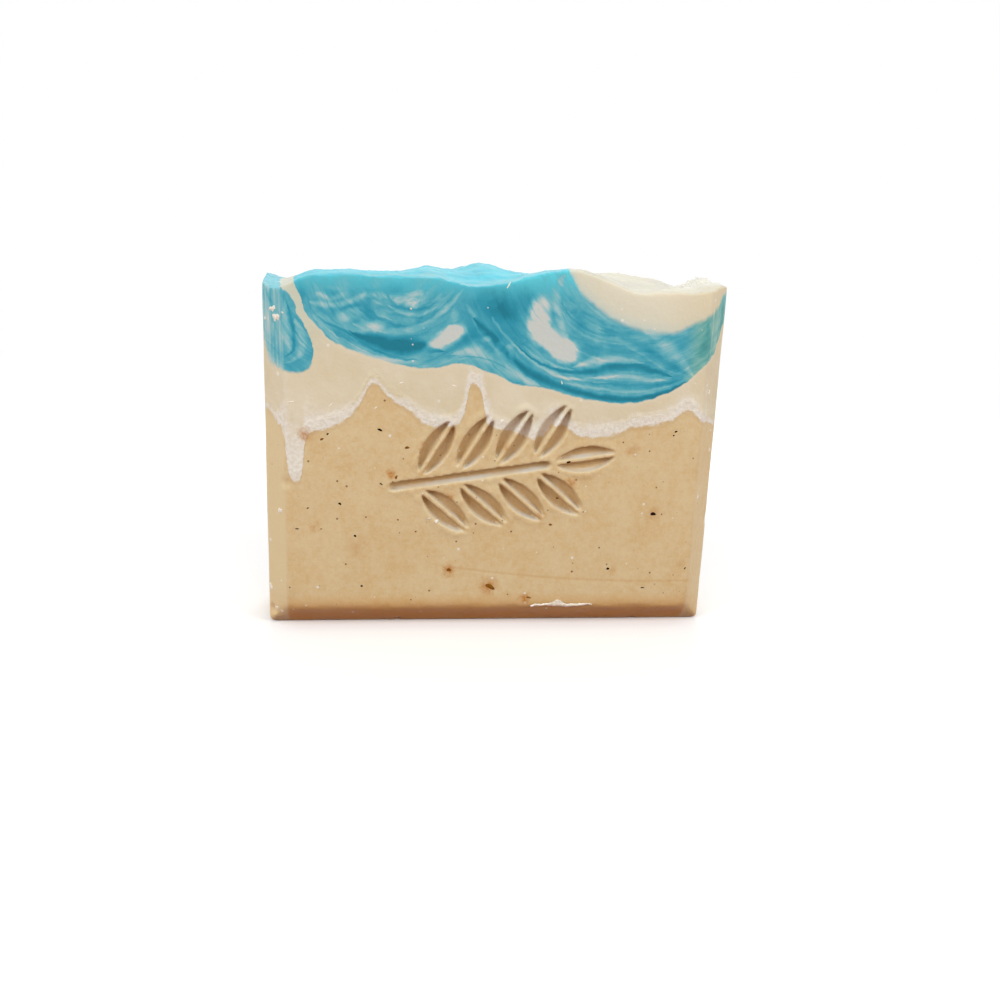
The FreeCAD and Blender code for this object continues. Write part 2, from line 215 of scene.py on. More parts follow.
# The same for streaks that rise steeply, from the lowest point up: millimetres above the foot, right of
# the middle, and half the width.
STEEP_STREAKS = {
    "hook_fall": (0.18, [
        (61.1, -20.5), (61.9, -22.3, 0.94), (63.2, -23.3, 1.03), (64.8, -23.5, 0.92),
        (66.2, -23.8)]),
    "divider": (0.14, [
        (61.5, -4.5), (63.1, -5.9, 0.49), (64.8, -6.9)]),
    "cap_side": (0.24, [
        (56.2, 14.8), (58.0, 13.1, 0.53), (60.3, 11.6, 0.62), (62.5, 10.8, 0.74), (64.7, 10.1, 0.82),
        (66.9, 9.9, 0.9), (68.9, 10.6, 0.82), (70.8, 11.6)]),
    "drip_core": (0.19, [
        (54.6, -39.2), (56.2, -39.5, 0.53), (58.9, -39.8, 0.62), (62.2, -39.9, 0.41),
        (64.9, -40.0)]),
    "drip_edge_pale": (0.2, [
        (52.7, -40.3), (53.5, -38.4, 0.53), (55.0, -37.2, 0.7), (57.2, -36.9, 0.74),
        (59.5, -37.4, 0.62), (61.1, -38.3)]),
    "drip_deep_left": (-0.14, [
        (52.3, -39.9), (53.4, -41.0, 0.41), (55.2, -41.7, 0.82), (58.0, -41.6, 0.41),
        (61.6, -41.9, 0.33), (64.8, -42.5, 0.62), (66.6, -42.3)]),
    "drip_ring": (-0.24, [
        (53.8, -40.3), (54.6, -39.2, 0.29), (56.4, -38.4, 0.31), (59.0, -38.5, 0.31),
        (61.7, -38.9, 0.25), (63.8, -39.7)]),
    "teal_mark": (-0.17, [
        (55.9, 37.4), (56.7, 38.7, 0.49), (58.1, 39.8, 0.9), (60.2, 40.0, 0.7), (62.5, 39.9)]),
}

# Rounder patches in the swirl. Each has how far it pales or deepens the blue, its middle right of the
# middle and above the foot, half its length and width, its lean in degrees, and how far out its solid
# core reaches, as a share of its size.
PATCHES = {
    "slug": (0.75, -10.4, 58.1, 4.3, 1.75, 34, 0.3),
    "slug_shoulder": (0.6, -9.0, 59.3, 1.8, 1.4, 15, 0.5),
    "slug_tail": (0.2, -14.0, 56.3, 1.35, 0.62, 35, 0.2),
    "comma_top": (0.66, 7.0, 62.2, 4.7, 2.3, 86, 0.5),
    "comma_middle": (0.7, 9.8, 58.0, 5.0, 2.1, -40, 0.5),
    "comma_foot": (0.66, 12.5, 56.2, 2.7, 2.2, -14, 0.5),
    "patch_left": (0.28, -28.6, 62.0, 2.38, 1.36, 17, 0.3),
    "patch_middle": (0.2, -24.2, 59.7, 3.00, 1.15, 12, 0.2),
    "patch_upper": (0.3, -16.2, 65.3, 2.35, 1.64, 27, 0.35),
    "patch_upper_tail": (0.25, -18.6, 64.8, 2.57, 1.03, -15, 0.3),
    "curl_light": (0.29, -32.9, 65.2, 1.72, 0.53, -20, 0.1),
    "curl_round": (0.19, -30.4, 65.2, 1.88, 0.62, 24, 0.1),
    "curl_top": (0.15, -31.4, 66.9, 2.18, 0.62, -8, 0.1),
    "curl_heart": (-0.13, -31.6, 66.0, 1.69, 0.70, -17, 0.1),
    "dark_by_patch": (-0.17, -24.7, 62.7, 2.65, 1.33, -82, 0.3),
    "dark_over_patch": (-0.15, -27.8, 63.5, 2.24, 0.53, 13, 0.2),
    "dark_left": (-0.15, -32.0, 62.7, 2.12, 1.33, -21, 0.2),
    "dark_top_left": (-0.16, -37.2, 66.2, 2.67, 1.64, -58, 0.3),
    "rim_cyan_deep": (-0.21, -19.8, 67.3, 3.02, 1.64, 16, 0.4),
    "spot_over_slug": (0.2, -9.0, 62.3, 1.29, 0.82, -89, 0.2),
    "heart_upper": (-0.26, 0.2, 66.1, 8.63, 5.13, 5, 0.3),
    "heart_lower": (-0.2, 0.6, 60.9, 5.47, 3.49, -57, 0.3),
    "bubble_a": (0.22, -2.7, 58.2, 1.15, 0.70, 11, 0.3),
    "bubble_b": (0.23, -0.2, 57.1, 1.02, 0.70, -54, 0.3),
    "bubble_c": (0.23, 1.3, 56.5, 1.31, 0.66, 32, 0.3),
    "bubble_d": (0.23, 2.0, 55.2, 1.15, 0.57, -63, 0.3),
    "drip_foot": (-0.08, -37.6, 53.1, 2.98, 1.11, 27, 0.4),
    "slug_shade": (-0.2, -6.3, 58.2, 3.0, 1.2, 40, 0.1),
    "spot_in_comma": (-0.08, 10.6, 56.8, 1.06, 0.62, 6, 0.2),
}

# How wide the froth is along the seam between beige and cream
FROTH_WIDTH = [
    (-44.5, 0.3), (-42.5, 1.0), (-40.6, 5.0), (-39.6, 10.0), (-38.0, 9.0), (-36.4, 5.0), (-34.0, 3.2),
    (-29.0, 2.2), (-26.5, 0.9), (-22.0, 0.7), (-17.0, 1.6), (-12.0, 2.4), (-8.0, 1.7), (-6.0, 4.0),
    (-5.0, 2.0), (-2.4, 4.0), (-0.5, 1.6), (3.0, 2.0), (8.0, 3.0), (10.5, 3.6), (13.0, 1.8), (16.0, 2.0),
    (21.0, 2.6), (25.0, 1.9), (30.0, 2.0), (36.0, 2.4), (41.0, 1.6), (44.5, 0.6)]

# Sizes of the pattern, in millimetres
DRIFT = 17.0                   # how far the pattern may wander from front to back
DRIFT_SIZE = 22.0              # over what distance it does so
WOBBLE = 0.7                   # unevenness of every edge in the pattern
WOBBLE_SIZE = 1.6
CLOUDS = 7.0                   # from one faint cloud in the cream and beige to the next
SWIRL_CLOUDS = 4.0
MOTTLE = 1.1
CURDS = 1.3                    # of the froth and the torn stains
GRAIN = 0.7
CUT_MARKS = 0.8
FIBRE = 0.6                    # of a dried leaf
RAGGED = 1.7                   # how far the curds of froth stray over its seam
STREAK_WIDTH = 1.35            # from one stirred streak to the next
STREAKS_ROUND_BOWL = 2.1       # changes along a streak, for each radian round its bowl
LEFT_BOWL = (-19.0, 73.0)      # what the spoon's two turns went round, right and above the foot
RIGHT_BOWL = (25.0, 78.0)
BETWEEN_BOWLS = (-10.5, -4.5)  # where the one turn gives way to the other, right of the middle
TEAL_FROM = 37.0               # where the blue turns greener, right of the middle
CYAN_RIM = (64.5, 70.5)        # where the blue turns brighter, above the foot
FOOT_SHADE_SPAN = (7.4, 2.2)         # painted shade: over these heights above the foot the beige turns browner
DUST_SPACING = 1.8             # herb dust: one speck or none in each cell
DUST_SIZE = 0.24
FLECK_SPACING = 2.3            # white flecks, the same way
FLECK_SIZE = 0.3
SCATTER = 0.5                  # how far light creeps through the soap
RELIEF = 0.12                  # height of the finest bumps

# Strengths in the pattern
PLAIN_PALENESS = 0.44          # of the swirl where no streak or patch crosses it
STIRRED_CONTRAST = 0.7         # how much the stirred streaks change that
CLOUD_CONTRAST = 0.5
SCUFFS = (0.9, 0.35)           # how far the plane paled the left and the right bevels
PLANE_MARKS = (1.6, 1.6, 0.06)  # changes in each millimetre across, back and up
DRAG = 2.6                     # how far the plane dragged the colours, in millimetres
SPOONED = (0.1, 0.35, 0.2)     # changes in the top's ash in each millimetre

# Warm stains on the front: right of the middle, above the foot, reach, strength
STAINS = [
    (32.0, 24.1, 2.2, 0.5), (-0.8, 9.0, 2.8, 1.0), (-8.8, 12.3, 2.0, 0.95), (-36.6, 39.4, 2.2, 0.8),
    (-14.0, 37.3, 1.8, 0.8), (-27.0, 17.0, 3.0, 0.3), (27.0, 37.0, 2.0, 0.5), (6.6, 6.3, 2.0, 0.8),
    (-20.4, 32.0, 1.5, 0.9), (14.9, 30.4, 2.0, 0.7), (9.2, 23.6, 1.5, 0.5), (-35.0, 21.2, 1.3, 0.7),
    (-9.0, 27.6, 1.4, 0.6), (38.6, 13.5, 1.7, 0.4), (1.8, 37.4, 1.6, 0.45), (24.5, 12.3, 1.7, 0.3)]
STAMP_SHADE = 0.3                  # painted shade: how strongly the stamp's recessed floor is darkened with the stains' tone
WIRE_MARK = (33.0, 9.9, 0.0018)  # its lowest point's place and height, and how much it curves

# The front's largest bits: right of the middle, above the foot, length, width, lean in degrees
DARK_HERBS = [
    (-22.6, 40.5, 1.5, 0.6, -22), (32.0, 24.1, 1.5, 0.9, 0), (23.5, 12.5, 0.8, 0.6, 10),
    (35.3, 41.0, 0.8, 0.4, 20), (34.9, 40.2, 0.5, 0.4, 0), (31.0, 8.4, 1.0, 0.3, 0),
    (-27.3, 19.4, 0.7, 0.5, -30), (-30.2, 25.9, 0.8, 0.5, -35), (-36.3, 25.0, 0.6, 0.3, 30),
    (-38.4, 20.8, 1.0, 0.3, 0), (-22.3, 29.9, 0.9, 0.3, -30), (-32.4, 39.6, 0.8, 0.5, 45),
    (14.2, 34.5, 1.0, 0.7, 15), (-26.0, 9.0, 0.6, 0.5, 10), (39.6, 12.6, 0.7, 0.3, 60)]
BROWN_HERBS = [
    (-0.4, 8.7, 2.5, 1.0, -28), (-8.8, 12.3, 1.2, 0.9, 0), (-17.4, 37.1, 1.3, 0.7, 10),
    (-19.4, 31.3, 1.0, 0.5, 70), (11.2, 21.8, 0.9, 0.6, 0), (12.6, 26.9, 1.0, 0.6, 20),
    (-14.9, 36.1, 0.7, 0.4, 0), (-33.8, 20.8, 0.6, 0.3, 20), (-19.0, 22.7, 0.5, 0.4, 0),
    (7.5, 6.4, 1.3, 0.4, -10), (-33.5, 38.6, 0.9, 0.5, 30), (-15.5, 20.3, 0.5, 0.4, 0)]
CRUMBS = [
    (-42.3, 62.5, 1.6, 1.3, 10), (-41.8, 61.2, 1.5, 1.3, 0), (-41.6, 24.0, 1.3, 1.1, 20),
    (-44.0, 7.8, 1.2, 1.8, 0), (-42.8, 3.4, 1.6, 1.0, 30), (-40.4, 62.0, 0.5, 0.4, 0),
    (-11.3, 22.4, 1.3, 0.6, 10), (-13.0, 23.0, 0.9, 0.5, -20), (41.6, 48.6, 0.8, 1.0, 0),
    (0.7, 42.6, 1.2, 0.7, 20), (-41.9, 60.4, 0.6, 0.4, 0), (-17.0, 63.4, 0.5, 0.4, 0)]
SLIVERS = [
    (1.0, 68.2, 0.3, 1.5, -28), (-39.2, 45.6, 1.6, 0.3, 14), (-31.8, 45.2, 1.6, 0.3, 40),
    (-8.6, 49.2, 1.3, 0.3, -25), (-18.6, 49.6, 1.0, 0.35, 20), (12.0, 50.2, 0.3, 0.9, 10),
    (-23.4, 44.8, 0.9, 0.25, 35), (33.9, 44.2, 0.8, 0.3, -20)]

# Shapes worked into the bar's mesh, in millimetres
RIGHT_BRIM = (31.0, 1.3)       # how far right of the middle it swells, and how high
CRUMBLY_LUMP = (40.0, -4.0, 70.0, 5.5)  # its middle, and its reach
LUMP_ROUGHNESS = 1.8
FACE_WAVES = 0.22
TOP_RIPPLES = 0.8
STAMP_LIP = 0.45               # soap that the stamp pushed up round itself
DEEPEST_NICK = 0.9
# Each nick's middle, reach and depth
NICKS = [(-18.8, -8.4, 0.6, 1.0, 0.8), (-21.6, -8.4, 0.4, 0.7, 0.4), (30.2, -8.3, 0.3, 0.8, 0.3),
         (-43.6, -9.2, 3.0, 1.6, 0.5), (43.8, -9.0, 22.0, 1.8, 0.3), (-40.6, -12.4, 30.0, 1.6, 0.25),
         (20.5, 12.5, 4.4, 1.4, 0.5), (-33.0, 12.5, 40.0, 1.2, 0.3), (44.3, 3.0, 66.0, 1.6, 0.6),
         (-30.0, 12.6, 67.8, 1.6, 0.6), (8.0, 12.6, 66.5, 1.5, 0.5)]

# Bits that lie on the front, in millimetres
CRUMB_THICKNESS = 0.6
SLIVER_THICKNESS = 0.3
DARK_HERB_THICKNESS = 0.35
BROWN_HERB_THICKNESS = 0.3
GRAINS = 5                     # in each crumb
GRAIN_SPREAD = 0.12            # of its grains, as a share of its size
SHAVING_PLACE = (14.3, 5.6)
SHAVING_LENGTH = 12.6
SHAVING_LEAN = 1.5
SHAVING_BULGE = 0.45           # how far it stands off the bar
SHAVING_SLIP = 1.15            # how far its lower edge hangs below its place
SHAVING_THICKNESS = 0.12
# How far along it the shaving is how broad
SHAVING_OUTLINE = [
    (0.0, 0.3), (0.05, 0.7), (0.15, 0.6), (0.28, 0.75), (0.36, 1.1), (0.43, 1.6), (0.47, 1.45),
    (0.52, 1.1), (0.58, 0.7), (0.66, 0.85), (0.78, 0.7), (0.9, 0.6), (1.0, 0.1)]

# Lights: place in millimetres, size, power in watts
LIGHTS = [
    ("key", (-40, -480, 540), 420, 1.2),
    ("left", (-560, -380, 330), 360, 3.15),
    ("right", (560, -380, 330), 360, 2.9),
    ("back", (60, 520, 420), 360, 1.8)]
SKY_LIGHT = 0.5
FLOOR_SIZE = 9000
FLOOR_BOUNCE = "#8c5030"       # the floor's tone in the light that it throws back
FLOOR_SEEN = "#f6f6f6"
FLOOR_FADE = (150, 450)        # where the lit floor turns to plain white, away from the middle


def linear(hex_colour):
    """A written sRGB colour as the linear one that Blender works in."""
    parts = [int(hex_colour[place:place + 2], 16) / 255 for place in (1, 3, 5)]
    return tuple(p / 12.92 if p <= 0.04045 else ((p + 0.055) / 1.055) ** 2.4 for p in parts) + (1.0,)


def add(tree, kind, *inputs, out=0, stops=(), points=(), **settings):
    """Adds one node, makes its settings, fills its inputs in order, and gives one of its outputs.

    An input is another node's output, a number or vector, a written colour, or None to leave it as it
    is. stops are a ramp's places and colours, and points are a curve's, its two ends before the rest.
    """
    node = tree.nodes.new("ShaderNode" + kind)
    for name, value in settings.items():
        setattr(node, name, value)
    for socket, value in zip([s for s in node.inputs if s.enabled], inputs):
        if isinstance(value, bpy.types.NodeSocket):
            tree.links.new(value, socket)
        elif value is not None:
            socket.default_value = linear(value) if isinstance(value, str) else value
    for number, (place, colour) in enumerate(stops):
        elements = node.color_ramp.elements
        element = elements[number] if number < 2 else elements.new(place)
        element.position, element.color = place, linear(colour)
    if points:
        curve = node.mapping.curves[0]
        for number, point in enumerate(points):
            spot = curve.points[number] if number < 2 else curve.points.new(*point)
            spot.location = point
        for spot in curve.points:
            spot.handle_type = "AUTO_CLAMPED"
        node.mapping.update()
    return [s for s in node.outputs if s.enabled][out]


def new_material(name, roughness, ior, subsurface=0.0):
    """A node material with the settings that are the same all over its surface."""
    material = bpy.data.materials.new(name)
    material.use_nodes = True
    tree = material.node_tree
    shader = tree.nodes["Principled BSDF"]
    shader.inputs["Roughness"].default_value = roughness
    shader.inputs["IOR"].default_value = ior
    shader.inputs["Subsurface Weight"].default_value = subsurface
    shader.inputs["Subsurface Radius"].default_value = (1.0, 0.7, 0.45)
    shader.inputs["Subsurface Scale"].default_value = SCATTER * MM
    shader.inputs["Specular IOR Level"].default_value = 0.3
    return material, tree, shader


def spot_on_piece(tree):
    """A point of the piece in millimetres, and the surface's normal there."""
    coordinates = add(tree, "TexCoord").node
    place = add(tree, "VectorMath", coordinates.outputs["Object"], 1 / MM, operation="SCALE")
    return place, coordinates.outputs["Normal"]


def drawn_line(tree, along, points, share=None):
    """The height of a drawn line over a place along it, as a smooth curve through its points."""
    start, end = points[0][0], points[-1][0]
    heights = [height for _, height in points]
    low, span = min(heights), max(heights) - min(heights) + 0.01
    spots = [((place - start) / (end - start), (height - low) / span) for place, height in points]
    if share is None:
        share = add(tree, "MapRange", along, start, end)
    value = add(tree, "FloatCurve", 1.0, share, points=[spots[0], spots[-1]] + spots[1:-1])
    return add(tree, "Math", value, span, low, operation="MULTIPLY_ADD")


def above(tree, height, edge, softness):
    """0 below an edge and 1 above it, easing over the softness on each side of it."""
    over = add(tree, "Math", height, edge, operation="SUBTRACT")
    return add(tree, "MapRange", over, -softness, softness, interpolation_type="SMOOTHSTEP")


def streak(tree, along, across, points):
    """A streak's strength: 1 along its middle line, fading out at its width and at its two ends."""
    share = add(tree, "MapRange", along, points[0][0], points[-1][0])
    middle = drawn_line(tree, along, [point[:2] for point in points], share)
    widths = [(place, sum(half_width)) for place, _, *half_width in points]
    half_width = add(tree, "Math", drawn_line(tree, along, widths, share), 0.0001, operation="MAXIMUM")
    off = add(tree, "Math", across, middle, operation="SUBTRACT")
    off = add(tree, "Math", add(tree, "Math", off, half_width, operation="DIVIDE"), operation="ABSOLUTE")
    return add(tree, "MapRange", off, 0.15, 1.6, 1.0, 0.0, interpolation_type="SMOOTHSTEP")


def patch(tree, flat, x, z, half_length, half_width, lean, core):
    """A soft oval's strength, 1 in its core and 0 at its rim."""
    place = add(tree, "Mapping", flat, (x, 0, z), (0, math.radians(-lean), 0), (half_length, 1, half_width),
                vector_type="TEXTURE")
    off = add(tree, "VectorMath", place, operation="LENGTH")
    return add(tree, "MapRange", off, core, 1.25, 1.0, 0.0, interpolation_type="SMOOTHSTEP")


def specks(tree, place, spacing, size, rarity, softness, swell=1.0):
    """Where the specks are, one or none in each cell, and a chance that is the same all over a cell."""
    cells = add(tree, "TexVoronoi", place, 1 / spacing, 0.0, 0.5, 2.0, 1.0).node.outputs
    chances = add(tree, "SeparateXYZ", cells["Color"]).node.outputs
    reach = add(tree, "MapRange", chances[0], rarity, 1.0, 0.0, size / spacing)
    reach = add(tree, "Math", reach, swell, operation="MULTIPLY")
    return above(tree, reach, cells["Distance"], softness), chances[1]


def stirred_streaks(tree, x, z, depth, bowl):
    """Thin streaks that run round the middle of a bowl that the spoon stirred, from 0 to 1."""
    from_middle = [add(tree, "Math", place, middle, operation="SUBTRACT")
                   for place, middle in zip((x, z), bowl)]
    radius = add(tree, "VectorMath", add(tree, "CombineXYZ", *from_middle), operation="LENGTH")
    angle = add(tree, "Math", from_middle[1], from_middle[0], operation="ARCTAN2")
    run = add(tree, "CombineXYZ",
              add(tree, "Math", radius, 1 / STREAK_WIDTH, operation="MULTIPLY"),
              add(tree, "Math", angle, STREAKS_ROUND_BOWL, operation="MULTIPLY"),
              add(tree, "Math", depth, 1 / DRIFT_SIZE, operation="MULTIPLY"))
    return add(tree, "TexNoise", run, 1.0, 3.0, 0.55, 2.0, 1.1)


def swirl_paleness(tree, x, z, depth):
    """How pale the blue swirl is, from deep blue at 0 to white at 1."""
    side = add(tree, "MapRange", x, *BETWEEN_BOWLS, interpolation_type="SMOOTHSTEP")
    streaks = [stirred_streaks(tree, x, z, depth, bowl) for bowl in (LEFT_BOWL, RIGHT_BOWL)]
    stirred = add(tree, "Mix", side, *streaks)
    flat = add(tree, "CombineXYZ", x, add(tree, "Math", depth, 0.35, operation="MULTIPLY"), z)
    cloud = add(tree, "TexNoise", flat, 1 / SWIRL_CLOUDS, 3.0, 0.55, 2.0, 0.4)
    middle = PLAIN_PALENESS - (STIRRED_CONTRAST + CLOUD_CONTRAST) / 2
    total = add(tree, "Math", stirred, STIRRED_CONTRAST, middle, operation="MULTIPLY_ADD")
    total = add(tree, "Math", cloud, CLOUD_CONTRAST, total, operation="MULTIPLY_ADD")
    texture = add(tree, "Math", stirred, 1.2, 0.4, operation="MULTIPLY_ADD")
    front = add(tree, "CombineXYZ", x, 0.0, z)
    marks = [(amount, patch(tree, front, *shape)) for amount, *shape in PATCHES.values()]
    marks += [(amount, streak(tree, x, z, points)) for amount, points in LEVEL_STREAKS.values()]
    marks += [(amount, streak(tree, z, x, points)) for amount, points in STEEP_STREAKS.values()]
    drawn = 0.0
    for amount, strength in marks:
        drawn = add(tree, "Math", strength, amount, drawn, operation="MULTIPLY_ADD")
    return add(tree, "Math", drawn, texture, total, operation="MULTIPLY_ADD")


def locate_soap(tree):
    """Where a point is in the bar and in the poured pattern, and what all the layers share."""
    at = SimpleNamespace()
    at.place, normal = spot_on_piece(tree)
    raw = add(tree, "SeparateXYZ", at.place).node.outputs
    at.right, at.behind, at.height = raw["X"], raw["Y"], raw["Z"]
    at.facing_up = add(tree, "SeparateXYZ", normal, out=2)
    at.clouds = add(tree, "TexNoise", at.place, 1 / CLOUDS, 4.0, 0.6, 2.0, 0.2)
    at.curds = add(tree, "TexNoise", at.place, 1 / CURDS, 3.0, 0.7, 2.0, 0.0)
    at.grain = add(tree, "TexNoise", at.place, 1 / GRAIN, 3.0, 0.65, 2.0, 0.0)
    at.torn = add(tree, "MapRange", at.grain, 0.35, 0.6, 1.3, 0.7)

    # The plane that cut the upright bevels scuffed them and dragged the colours along them
    at.outwards = add(tree, "Math", at.right, operation="ABSOLUTE")
    bevel = HALF_WIDTH - SIDE_BEVEL
    at.on_bevel = add(tree, "MapRange", at.outwards, bevel - 0.1, bevel + 0.5)
    at.scuffed = add(tree, "MapRange", at.right, -40.0, 40.0, *SCUFFS)
    at.scuffed = add(tree, "Math", at.on_bevel, at.scuffed, operation="MULTIPLY")
    drag = add(tree, "VectorMath", at.place, PLANE_MARKS, operation="MULTIPLY")
    drag = add(tree, "TexNoise", drag, 1.0, 3.0, 0.6, 2.0, 0.0)
    drag = add(tree, "Math", drag, -0.5, operation="ADD")
    at.drag = add(tree, "Math", drag, at.on_bevel, operation="MULTIPLY")

    # The pattern is as drawn on the front, drifts on its way back, and is never quite smooth
    drift = add(tree, "MapRange", at.behind, FRONT, BACK, 0.0, DRIFT)
    flow = at.place
    for size, octaves, roughness, reach in ((DRIFT_SIZE, 1.0, 0.5, drift), (WOBBLE_SIZE, 2.0, 0.6, WOBBLE)):
        shift = add(tree, "TexNoise", at.place, 1 / size, octaves, roughness, 2.0, 0.0, out=1)
        shift = add(tree, "VectorMath", shift, (-0.5,) * 3, operation="ADD")
        shift = add(tree, "VectorMath", shift, reach, operation="SCALE")
        flow = add(tree, "VectorMath", flow, shift, operation="ADD")
    pattern = add(tree, "SeparateXYZ", flow).node.outputs
    at.x, at.depth = pattern["X"], pattern["Y"]
    at.z = add(tree, "Math", at.drag, DRAG, pattern["Z"], operation="MULTIPLY_ADD")
    at.swirl_edge = drawn_line(tree, at.x, SWIRL_EDGE)
    return at


def beige_base(tree, at):
    """The beige base: faint clouds and herb dust, painted shade that browns it towards the foot, a painted
    highlight along the foot's bottom edge, and paler where it was planed.
    """
    mottle = add(tree, "TexNoise", at.place, 1 / MOTTLE, 3.0, 0.8, 2.0, 0.0)
    faint_clouds = add(tree, "Math", at.clouds, 0.4, operation="MULTIPLY")
    mottle = add(tree, "Math", mottle, 0.6, faint_clouds, operation="MULTIPLY_ADD")
    beige = add(tree, "ValToRGB", mottle, stops=[(0.32, BEIGE_WARM), (0.5, BEIGE), (0.7, BEIGE_PALE)])
    # Painted shade: browner towards the foot, a quarter as strong on the upright bevels
    foot_shade = add(tree, "MapRange", at.height, *FOOT_SHADE_SPAN)
    unplaned = add(tree, "MapRange", at.on_bevel, 0.0, 1.0, 1.0, 0.25)
    foot_shade = add(tree, "Math", foot_shade, unplaned, operation="MULTIPLY")
    # Painted highlight: paler within 0.7 millimetres of the foot's bottom edge
    foot_edge_highlight = add(tree, "MapRange", at.height, 0.7, 0.1, 0.0, 0.6)
    dust, strength = specks(tree, at.place, DUST_SPACING, DUST_SIZE, 0.3, 0.03)
    strength = add(tree, "Math", strength, strength, operation="MULTIPLY")
    dust = add(tree, "Math", dust, strength, operation="MULTIPLY")
    for share, tone in ((at.scuffed, BEIGE_PALE), (foot_shade, BEIGE_FOOT_SHADE), (foot_edge_highlight, BEIGE_PALE),
                        (dust, HERB_DUST)):
        beige = add(tree, "Mix", share, beige, tone, data_type="RGBA")
    return beige


def frothy_cream(tree, at):
    """The cream over the base with the froth at their seam: where it is, and its colour."""
    beige_edge = drawn_line(tree, at.x, BEIGE_EDGE)
    ragged = add(tree, "Math", at.curds, RAGGED, at.z, operation="MULTIPLY_ADD")
    ragged = add(tree, "Math", ragged, -0.5 * RAGGED, operation="ADD")
    cream_here = above(tree, ragged, beige_edge, 0.3)
    cream = add(tree, "ValToRGB", at.clouds, stops=[(0.35, CREAM), (0.7, CREAM_PALE)])
    by_swirl = add(tree, "Math", at.z, at.swirl_edge, operation="SUBTRACT")
    by_swirl = add(tree, "MapRange", by_swirl, -1.0, -0.1, 0.0, 0.7)
    by_drip = add(tree, "Math", add(tree, "MapRange", at.z, 54.0, 63.0, 0.0, 0.8),
                  add(tree, "MapRange", at.x, -30.0, -34.0), operation="MULTIPLY")
    width = add(tree, "Math", drawn_line(tree, at.x, FROTH_WIDTH),
                add(tree, "Math", at.curds, 2.4, 0.2, operation="MULTIPLY_ADD"), operation="MULTIPLY")
    froth = add(tree, "Math", ragged, beige_edge, operation="SUBTRACT")
    froth = add(tree, "Math", froth, width, operation="DIVIDE")
    froth = add(tree, "MapRange", froth, 0.3, 1.3, 1.0, 0.0, interpolation_type="SMOOTHSTEP")
    froth = add(tree, "Math", froth, cream_here, operation="MULTIPLY")
    lather = add(tree, "ValToRGB", at.grain, stops=[(0.38, FROTH_SHADE), (0.62, FROTH)])
    for share, tone in ((by_swirl, CREAM_PALE), (by_drip, CREAM_BY_DRIP), (froth, lather)):
        cream = add(tree, "Mix", share, cream, tone, data_type="RGBA")
    return cream_here, cream


def blue_swirl(tree, at):
    """The swirl and its drip on the left: where they are, and their colour."""
    blur = add(tree, "MapRange", at.x, -43.8, -41.4, 4.5, 0.7)
    over_foot = add(tree, "Math", at.z, drawn_line(tree, at.x, DRIP_FOOT), operation="SUBTRACT")
    over_foot = add(tree, "Math", over_foot, blur, operation="DIVIDE")
    in_drip = add(tree, "Math", above(tree, over_foot, 0.0, 0.5),
                  above(tree, drawn_line(tree, at.x, DRIP_SHOULDER), at.z, 0.25), operation="MULTIPLY")
    in_drip = add(tree, "Math", in_drip, add(tree, "MapRange", at.x, -34.6, -35.0), operation="MULTIPLY")
    swirl_here = add(tree, "Math", above(tree, at.z, at.swirl_edge, 0.2), in_drip, operation="MAXIMUM")
    paleness = swirl_paleness(tree, at.x, at.z, at.depth)
    paleness = add(tree, "Math", at.drag, 1.3, paleness, operation="MULTIPLY_ADD")
    paleness = add(tree, "Math", at.scuffed, 0.3, paleness, operation="MULTIPLY_ADD")
    blue = add(tree, "ValToRGB", paleness, stops=SWIRL_COLOURS)
    teal = add(tree, "ValToRGB", paleness, stops=TEAL_COLOURS)
    blue = add(tree, "Mix", above(tree, at.x, TEAL_FROM, 2.0), blue, teal, data_type="RGBA")
    by_rim = add(tree, "MapRange", at.z, *CYAN_RIM, 0.0, 0.95, interpolation_type="SMOOTHSTEP")
    by_rim = add(tree, "Math", by_rim, add(tree, "MapRange", paleness, 0.75, 0.35), operation="MULTIPLY")
    return swirl_here, add(tree, "Mix", by_rim, blue, RIM_CYAN, data_type="RGBA")


def cream_cap(tree, at):
    """The cream cap on the right of the swirl: where it is, and its colour."""
    edge = drawn_line(tree, at.x, CAP_EDGE)
    cap_here = add(tree, "Math", above(tree, at.z, edge, 0.7), above(tree, at.x, CAP_EDGE[0][0], 0.1),
                   operation="MULTIPLY")
    up_cap = add(tree, "Math", at.z, edge, operation="SUBTRACT")
    cap = add(tree, "ValToRGB", add(tree, "MapRange", up_cap, 0.0, 8.0), stops=CAP_COLOURS)
    to_right = add(tree, "MapRange", at.x, 28.0, 43.0, 0.0, 0.9, interpolation_type="SMOOTHSTEP")
    return cap_here, add(tree, "Mix", to_right, cap, CAP_RIGHT, data_type="RGBA")


def warm_stains(tree, at):
    """How strongly the front is stained round its largest herbs, in torn blots."""
    stains = 0.0
    for x, z, reach, strength in STAINS:
        off = add(tree, "VectorMath", at.place, (x, FRONT, z), operation="DISTANCE")
        off = add(tree, "Math", at.curds, 3.2, off, operation="MULTIPLY_ADD")
        here = add(tree, "MapRange", off, 1.6 - 0.2 * reach, 1.6 + reach, strength, 0.0,
                   interpolation_type="SMOOTHSTEP")
        stains = add(tree, "Math", stains, here, operation="MAXIMUM")
    return add(tree, "Math", stains, at.torn, operation="MULTIPLY")


